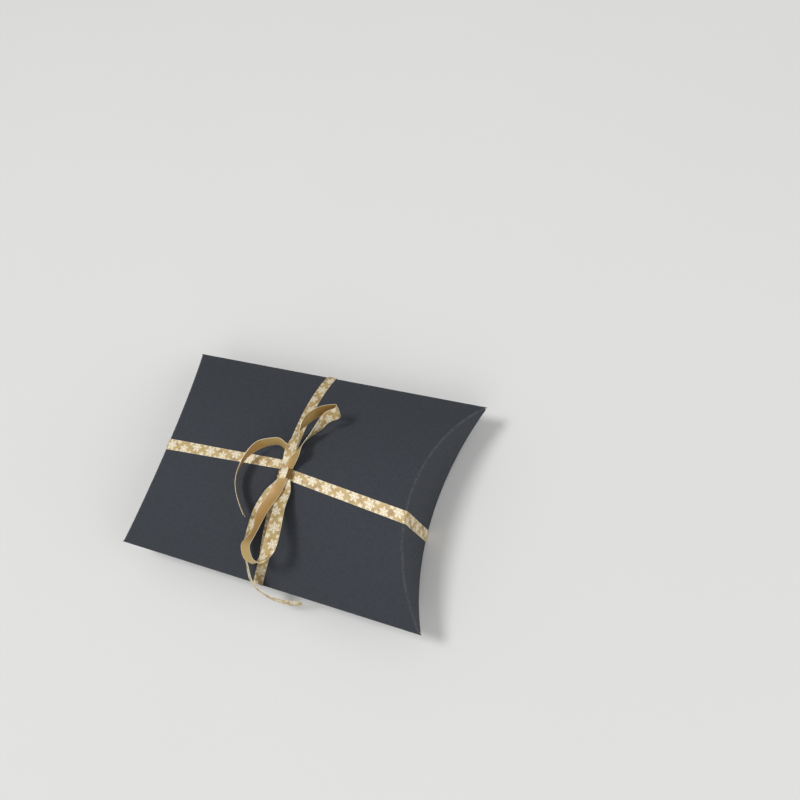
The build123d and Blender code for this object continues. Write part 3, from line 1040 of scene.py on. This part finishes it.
def noise(tree, vector, scale, detail, roughness=0.5):
    """The value of a noise on this vector."""
    shape = {"Scale": scale, "Detail": detail, "Roughness": roughness}
    return add(tree, "ShaderNodeTexNoise", {}, Vector=vector, **shape).outputs[0]


def attribute(tree, name):
    """The value of the mesh's attribute of this name."""
    return add(tree, "ShaderNodeAttribute", {"attribute_name": name}).outputs["Fac"]


def bumped(tree, strength, distance, height):
    """The normal over a relief of this height."""
    bump = add(tree, "ShaderNodeBump", {}, Strength=strength, Distance=distance, Height=height)
    return bump.outputs[0]


def group(name, inputs, outputs):
    """A new shader node group of numbers and one vector, and its inner inputs and outputs."""
    tree = bpy.data.node_groups.new(name, "ShaderNodeTree")
    tree.interface.new_socket("Vector", in_out="INPUT", socket_type="NodeSocketVector")
    for label in inputs:
        tree.interface.new_socket(label, in_out="INPUT", socket_type="NodeSocketFloat")
    for label in outputs:
        tree.interface.new_socket(label, in_out="OUTPUT", socket_type="NodeSocketFloat")
    return tree, tree.nodes.new("NodeGroupInput").outputs, tree.nodes.new("NodeGroupOutput").inputs


def fibre_group():
    """Paper or thread fibres: fine and coarse noise on one vector, as a value and a height."""
    if "Fibres" in bpy.data.node_groups:
        return bpy.data.node_groups["Fibres"]
    tree, given, result = group("Fibres", ("Fine", "Coarse"), ("Value", "Height"))
    levels = []
    for scale, detail, roughness in ((given["Fine"], 3.0, 0.6), (given["Coarse"], 4.0, 0.55)):
        field = noise(tree, given["Vector"], scale, detail, roughness)
        levels.append(ranged(tree, field, 0.25, 0.75))
    fine, coarse = levels
    value = plus(tree, times(tree, fine, 0.45), times(tree, coarse, 0.55))
    height = plus(tree, fine, times(tree, coarse, 0.5))
    tree.links.new(value, result["Value"])
    tree.links.new(height, result["Height"])
    return tree


def fibres(tree, vector, fine, coarse):
    """The fibre group on this vector: its value and its height."""
    fibre = {"node_tree": fibre_group()}
    return add(tree, "ShaderNodeGroup", fibre, Vector=vector, Fine=fine, Coarse=coarse).outputs


def flake_group():
    """A six-armed snow crystal round the origin, as a mask.

    The angle is folded into half of one arm, and the mask is where the distance to the arm, to
    one of its two pairs of barbs or to the heart is below zero.
    """
    if "Snow Crystal" in bpy.data.node_groups:
        return bpy.data.node_groups["Snow Crystal"]
    tree, given, result = group("Snow Crystal", ("Size", "Turn"), ("Mask",))
    place = add(tree, "ShaderNodeSeparateXYZ", {}, given["Vector"]).outputs
    angle = maths(tree, "ARCTAN2", place[1], place[0])
    angle = plus(tree, angle, plus(tree, given["Turn"], TWO_TURNS))
    folded = maths(tree, "PINGPONG", angle, radians(30))
    square = plus(tree, times(tree, place[0], place[0]), times(tree, place[1], place[1]))
    out = maths(tree, "DIVIDE", maths(tree, "SQRT", square), given["Size"])
    x = times(tree, out, maths(tree, "COSINE", folded))
    y = times(tree, out, maths(tree, "SINE", folded))
    shape = maths(tree, "MAXIMUM", less(tree, y, ARM), less(tree, x, 1.0))
    for root, reach in BARBS:
        run = less(tree, x, root)
        along = plus(tree, times(tree, run, BARB_COSINE), times(tree, y, BARB_SINE))
        beside = less(tree, times(tree, y, BARB_COSINE), times(tree, run, BARB_SINE))
        beside = less(tree, maths(tree, "ABSOLUTE", beside), BARB)
        barb = maths(tree, "MAXIMUM", beside, less(tree, along, reach))
        shape = maths(tree, "MINIMUM", shape, barb)
    shape = maths(tree, "MINIMUM", shape, less(tree, out, HEART))
    tree.links.new(ranged(tree, shape, -0.03, 0.04, 1.0, 0.0), result["Mask"])
    return tree


def print_group():
    """The ribbon's print: snow crystals of several sizes in each repeat, as one mask."""
    if "Snow Print" in bpy.data.node_groups:
        return bpy.data.node_groups["Snow Print"]
    tree, given, result = group("Snow Print", ("Repeat", "Size"), ("Mask",))
    place = add(tree, "ShaderNodeSeparateXYZ", {}, given["Vector"]).outputs
    crystal = {"node_tree": flake_group()}
    mask = None
    for share, across, size, turn in FLAKES:
        shifted = less(tree, maths(tree, "DIVIDE", place[0], given["Repeat"]), share)
        cell = less(tree, maths(tree, "FRACT", plus(tree, shifted, 0.5)), 0.5)
        u = times(tree, cell, given["Repeat"])
        v = less(tree, place[1], across)
        local = add(tree, "ShaderNodeCombineXYZ", {}, u, v).outputs[0]
        size = times(tree, given["Size"], size)
        flake = add(tree, "ShaderNodeGroup", crystal, Vector=local, Size=size, Turn=turn).outputs[0]
        mask = flake if mask is None else maths(tree, "MAXIMUM", mask, flake)
    tree.links.new(mask, result["Mask"])
    return tree


def new_material(name):
    """An empty node material, its tree and its linked Principled shader."""
    material = bpy.data.materials.new(name)
    material.use_nodes = True
    tree = material.node_tree
    tree.nodes.clear()
    shader = tree.nodes.new("ShaderNodeBsdfPrincipled")
    output = tree.nodes.new("ShaderNodeOutputMaterial")
    tree.links.new(shader.outputs[0], output.inputs[0])
    return material, tree, shader


def card_material(card):
    """Dyed card: matte, fibrous, paler where a cut has opened the fibres, with a painted highlight
    along the creases.
    """
    if "Dyed Card" in bpy.data.materials:
        return bpy.data.materials["Dyed Card"]
    material, tree, shader = new_material("Dyed Card")
    place = add(tree, "ShaderNodeTexCoord", {}).outputs["Object"]
    value, height = fibres(tree, place, 2600.0, 700.0)
    body = mottled(tree, value, card.colour, 0.93, 1.07)
    # Painted highlight: the creases are blended towards the paler colour, broken up by the fibres
    crease_highlight = times(tree, attribute(tree, "worn"), ranged(tree, value, 0.2, 0.8, 0.15, 0.75))
    creased = blended(tree, crease_highlight, body, (*card.crease_highlight_and_cut_colour, 1))
    cut = maths(tree, "COMPARE", attribute(tree, "side"), RIM, RIM_MARGIN)
    fill(
        tree,
        shader,
        Base_Color=overlaid(tree, cut, 0.8, creased, card.crease_highlight_and_cut_colour),
        Roughness=ranged(tree, value, 0.0, 1.0, 0.88, 0.74),
        Specular_IOR_Level=0.35,
        Normal=bumped(tree, 0.25, 0.00006, height),
    )
    return material


def satin_threads(tree, fine, coarse):
    """The ribbon's UV map, and the value and height of fibres drawn out along it."""
    uv = add(tree, "ShaderNodeUVMap", {"uv_map": "ribbon"}).outputs[0]
    drawn_out = add(tree, "ShaderNodeMapping", {}, Vector=uv, Scale=THREAD_SCALE).outputs[0]
    return uv, *fibres(tree, drawn_out, fine, coarse)


def ribbon_material(ribbon):
    """Satin ribbon: printed with snow crystals outside, plain and warmer on its reverse.

    Along the plain side a painted gleam rises and falls as a cosine of the run, stirred by
    clouds. Clouds also paint shade into the printed ground, and the edges and the rim are painted
    lighter, partly as a highlight.
    """
    if "Printed Satin" in bpy.data.materials:
        return bpy.data.materials["Printed Satin"]
    material, tree, shader = new_material("Printed Satin")
    uv, value, height = satin_threads(tree, 3.0, 0.8)
    side = attribute(tree, "side")
    # Painted highlight: the rim, seen edge-on, is painted most of the way to the print colour
    rim = maths(tree, "COMPARE", side, RIM, RIM_MARGIN)
    # Lighter edges: partly the ribbon's woven edge and partly painted highlight
    edge = ranged(tree, attribute(tree, "worn"), 0.86, 0.96)
    clouds = noise(tree, uv, 1.3, 1.0)

    snow = {"node_tree": print_group()}
    flakes = add(
        tree, "ShaderNodeGroup", snow, Vector=uv, Repeat=ribbon.repeat, Size=ribbon.flake
    ).outputs[0]
    satin = mottled(tree, value, ribbon.ground, 0.82, 1.15)
    # Painted shade: clouds darken the printed ground in patches, in place of the satin's changing sheen
    painted_shade = ranged(tree, clouds, 0.45, 0.70, 0.0, 0.75)
    satin = blended(tree, painted_shade, satin, (*ribbon.painted_shade_ground, 1))
    printed = overlaid(tree, flakes, 0.98, satin, ribbon.print_colour)
    printed = overlaid(tree, edge, 0.30, printed, ribbon.print_colour)

    plain = mottled(tree, value, ribbon.reverse, 0.85, 1.15)
    # Painted highlight: the plain side lightens towards the ground colour in gleams along its run
    run = add(tree, "ShaderNodeSeparateXYZ", {}, uv).outputs[0]
    swell = maths(tree, "COSINE", times(tree, run, 2 * pi / ribbon.gleam_repeat))
    swell = plus(tree, swell, times(tree, clouds, 0.6))
    gleam = ranged(tree, swell, 0.3, 1.2, 0.0, 0.9)
    plain = blended(tree, gleam, plain, (*ribbon.ground, 1))
    plain = overlaid(tree, edge, 0.35, plain, ribbon.print_colour)

    outside = maths(tree, "GREATER_THAN", side, RIM - RIM_MARGIN)
    colour = blended(tree, outside, plain, printed)
    fill(
        tree,
        shader,
        Base_Color=overlaid(tree, rim, 0.8, colour, ribbon.print_colour),
        Roughness=ranged(tree, value, 0.0, 1.0, 0.36, 0.50),
        Metallic=0.12,
        Specular_IOR_Level=0.7,
        Normal=bumped(tree, 0.3, 0.00005, height),
    )
    return material


def shaded_fold_material(ribbon):
    """The ribbon's plain side folded inside the knot: darker with painted shade, duller, with
    lengthwise folds.
    """
    material, tree, shader = new_material("Folded Satin")
    value = satin_threads(tree, 1.5, 0.4)[1]
    # Painted shade: the plain colour at two fifths stands in for the shade inside the knot
    shade = Vector(ribbon.reverse) * 0.4
    colour = mottled(tree, value, shade, 0.5, 1.5)
    fill(tree, shader, Base_Color=colour, Roughness=0.8, Specular_IOR_Level=0.12)
    return material


def floor_material(stage):
    """Pale matte floor."""
    material, tree, shader = new_material("Pale Floor")
    place = add(tree, "ShaderNodeTexCoord", {}).outputs["Object"]
    colour = mottled(tree, noise(tree, place, 6.0, 2.0), stage.floor, 0.985, 1.015)
    fill(tree, shader, Base_Color=colour, Roughness=0.85)
    return material


# Operators


def hang_between(piece):
    """Bakes the placement of a flap's piece into its mesh.
    """
    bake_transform(piece)


def build_flaps(card, layer, title, side, setback, reach, free_edge):
    """Builds the right and the left flap of one layer, each from its crease."""
    face, back, worn = flap_grids(card, side, setback, reach, free_edge)
    for end, sign in ENDS:
        flip = np.array([sign, 1, 1])
        piece = slab(f"{end}_{title}_flap", face * flip, back * flip, worn)
        dressed(piece, card_material(card), "card", f"{end}_{layer}_flap")
        hang_between(piece)


class PILLOWBOX_OT_sleeve(bpy.types.Operator):
    """Build the sleeve: front and back panels, both straight folds and the glued flap"""

    bl_idname = "pillow_box.sleeve"
    bl_label = "Card Sleeve"

    def execute(self, context):
        card = context.scene.pillow_card
        piece = slab("card_sleeve", *sleeve_grids(card))
        dressed(piece, card_material(card), "card", "front_panel", "back_panel", "glue_flap")
        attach(piece, "box")
        return {"FINISHED"}


class PILLOWBOX_OT_outer_flaps(bpy.types.Operator):
    """Build the two outer flaps, curved under the front panel's creases"""

    bl_idname = "pillow_box.outer_flaps"
    bl_label = "Outer Flaps"

    def execute(self, context):
        card = context.scene.pillow_card
        radius, drop = lens(card)

        def free_edge(y):
            return FOLD_HEIGHT - np.sqrt(radius**2 - y**2) + drop + FLAP_GAP

        build_flaps(card, "outer", "closing", 1, 0, card.flap_reach, free_edge)
        return {"FINISHED"}


class PILLOWBOX_OT_inner_flaps(bpy.types.Operator):
    """Build the two inner flaps, tucked in behind the outer ones"""

    bl_idname = "pillow_box.inner_flaps"
    bl_label = "Inner Flaps"

    def execute(self, context):
        card = context.scene.pillow_card
        top = float(tuck_high.z)
        reach = card.tuck_reach
        fall = top - (FOLD_HEIGHT - card.tuck_drop)
        arc = (reach**2 + fall**2) / (2 * fall)

        def free_edge(y):
            return top - arc + np.sqrt(arc**2 - y**2)

        build_flaps(card, "inner", "tuck", -1, card.setback, reach, free_edge)
        return {"FINISHED"}


class PILLOWBOX_OT_long_bands(bpy.types.Operator):
    """Build the lengthwise ribbon over the front, the ends and the back"""

    bl_idname = "pillow_box.long_bands"
    bl_label = "Lengthwise Ribbon"

    def execute(self, context):
        card, ribbon = context.scene.pillow_card, context.scene.pillow_ribbon
        satin = ribbon_material(ribbon)
        front = ribbon_slab("ribbon_along_front", ribbon, *front_band(card, ribbon))
        dressed(front, satin, "ribbon", "ribbon_front_left", "ribbon_front_right")
        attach(front, "box")

        run = card.length
        for (end, sign), middle in zip(ENDS, (ribbon.right_y, ribbon.left_y)):
            path, normal = end_band(card, ribbon, middle)
            flip = np.array([sign, 1, 1])
            piece = ribbon_slab(f"ribbon_over_{end}_end", ribbon, path * flip, normal * flip, run)
            dressed(piece, satin, "ribbon", f"ribbon_{end}_end")
            hang_between(piece)

        back = ribbon_slab("ribbon_along_back", ribbon, *back_band(card, ribbon))
        dressed(back, satin, "ribbon", "ribbon_back_long")
        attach(back, "box")
        return {"FINISHED"}


class PILLOWBOX_OT_girth_band(bpy.types.Operator):
    """Build the ribbon round the girth, crossing over the lengthwise one"""

    bl_idname = "pillow_box.girth_band"
    bl_label = "Girth Ribbon"

    def execute(self, context):
        card, ribbon = context.scene.pillow_card, context.scene.pillow_ribbon
        piece = ribbon_slab("ribbon_round_girth", ribbon, *girth_band(card, ribbon))
        nodes = ("ribbon_front_upper", "ribbon_front_lower", "ribbon_back_cross")
        dressed(piece, ribbon_material(ribbon), "ribbon", *nodes)
        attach(piece, "box")
        return {"FINISHED"}


class PILLOWBOX_OT_bow(bpy.types.Operator):
    """Build the bow's two loops and two tails"""

    bl_idname = "pillow_box.bow"
    bl_label = "Loops and Tails"

    def execute(self, context):
        scene = context.scene
        card, ribbon, bow = scene.pillow_card, scene.pillow_ribbon, scene.pillow_bow
        for name, node, stations, tied, leave, gleam in STRANDS:
            # Where the strand's painted gleams fall along its run
            start = gleam * ribbon.gleam_repeat * ribbon.width
            waist = bow.loop_waist if len(tied) > 1 else bow.tail_waist
            path, normal = strand(card, ribbon, bow, stations, tied, leave, waist)
            piece = ribbon_slab(name, ribbon, path, normal, start, name == "tail_far")
            dressed(piece, ribbon_material(ribbon), "ribbon", node)
            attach(piece, "box")
        return {"FINISHED"}


class PILLOWBOX_OT_knot(bpy.types.Operator):
    """Build the knot: the gathered strands and the turn of ribbon round them"""

    bl_idname = "pillow_box.knot"
    bl_label = "Knot"

    def execute(self, context):
        ribbon, bow = context.scene.pillow_ribbon, context.scene.pillow_bow
        heart = closed_skin("knot_heart", knot_heart(bow), ribbon.width)
        # The heart's colour is darkened to paint the shade inside the knot
        heart.data.materials.append(shaded_fold_material(ribbon))
        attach(heart, "box")
        wrap = ribbon_slab("knot_wrap", ribbon, *knot_wrap(ribbon, bow), WRAP_PRINT)
        dressed(wrap, ribbon_material(ribbon), "ribbon", "bow_knot")
        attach(wrap, "box")
        return {"FINISHED"}


class PILLOWBOX_OT_stage(bpy.types.Operator):
    """Set up the floor, the soft light and the camera"""

    bl_idname = "pillow_box.stage"
    bl_label = "Stage"

    def execute(self, context):
        scene = context.scene
        stage = scene.pillow_stage
        corners = np.array([[-1, -1, 0], [1, -1, 0], [1, 1, 0], [-1, 1, 0]]) * FLOOR_HALF
        mesh = bpy.data.meshes.new("floor")
        mesh.from_pydata(corners.tolist(), [], [[0, 1, 2, 3]])
        floor = bpy.data.objects.new("floor", mesh)
        scene.collection.objects.link(floor)
        floor.data.materials.append(floor_material(stage))

        for name, size, place in LAMPS:
            lamp = bpy.data.lights.new(name, "AREA")
            lamp.shape = "DISK"
            lamp.size = size
            lamp.energy = getattr(stage, name)
            light = bpy.data.objects.new(name, lamp)
            light.location = place
            light.rotation_euler = Vector(place).to_track_quat("Z", "Y").to_euler()
            scene.collection.objects.link(light)

        world = bpy.data.worlds.new("even light")
        world.use_nodes = True
        background = world.node_tree.nodes["Background"]
        background.inputs["Color"].default_value = (1.0, 1.0, 1.0, 1.0)
        # The camera sees the backdrop's strength, and every other ray the sky's
        seen = world.node_tree.nodes.new("ShaderNodeLightPath").outputs["Is Camera Ray"]
        strength = maths(
            world.node_tree, "MULTIPLY_ADD", seen, stage.backdrop - stage.sky, stage.sky
        )
        world.node_tree.links.new(strength, background.inputs["Strength"])
        scene.world = world
        scene.view_settings.view_transform = "Standard"

        view = bpy.data.cameras.new("camera")
        view.sensor_width = 36.0
        view.lens = CAMERA_LENS
        view.clip_start = 0.01
        camera = bpy.data.objects.new("camera", view)
        right, behind = Vector(CAMERA_RIGHT).normalized(), Vector(CAMERA_BEHIND).normalized()
        up = behind.cross(right).normalized()
        turn = Matrix((right, up, behind)).transposed().to_4x4()
        camera.matrix_world = Matrix.Translation(CAMERA_PLACE) @ turn
        scene.collection.objects.link(camera)
        scene.camera = camera
        return {"FINISHED"}


class PILLOWBOX_PT_panel(bpy.types.Panel):
    """Lists the pieces of the box and their settings"""

    bl_label = "Pillow Box"
    bl_idname = "PILLOWBOX_PT_panel"
    bl_space_type = "VIEW_3D"
    bl_region_type = "UI"
    bl_category = "Pillow Box"

    def draw(self, context):
        for title, holder, operators in (
            ("Card", context.scene.pillow_card, ("sleeve", "outer_flaps", "inner_flaps")),
            ("Ribbon", context.scene.pillow_ribbon, ("long_bands", "girth_band")),
            ("Bow", context.scene.pillow_bow, ("bow", "knot")),
            ("Stage", context.scene.pillow_stage, ("stage",)),
        ):
            box = self.layout.box()
            box.label(text=title)
            for name in holder.__annotations__:
                box.prop(holder, name)
            for name in operators:
                box.operator(f"pillow_box.{name}")


SETTINGS = {
    "pillow_card": CardSettings,
    "pillow_ribbon": RibbonSettings,
    "pillow_bow": BowSettings,
    "pillow_stage": StageSettings,
}
CLASSES = (
    *SETTINGS.values(),
    PILLOWBOX_OT_sleeve,
    PILLOWBOX_OT_outer_flaps,
    PILLOWBOX_OT_inner_flaps,
    PILLOWBOX_OT_long_bands,
    PILLOWBOX_OT_girth_band,
    PILLOWBOX_OT_bow,
    PILLOWBOX_OT_knot,
    PILLOWBOX_OT_stage,
    PILLOWBOX_PT_panel,
)


def register():
    for item in CLASSES:
        bpy.utils.register_class(item)
    for name, kind in SETTINGS.items():
        setattr(bpy.types.Scene, name, PointerProperty(type=kind))


def unregister():
    for name in SETTINGS:
        delattr(bpy.types.Scene, name)
    for item in reversed(CLASSES):
        bpy.utils.unregister_class(item)


def main():
    register()
    bpy.ops.pillow_box.stage()
    bpy.ops.pillow_box.sleeve()
    bpy.ops.pillow_box.outer_flaps()
    bpy.ops.pillow_box.inner_flaps()
    bpy.ops.pillow_box.long_bands()
    bpy.ops.pillow_box.girth_band()
    bpy.ops.pillow_box.bow()
    bpy.ops.pillow_box.knot()


if __name__ == "__main__":
    main()
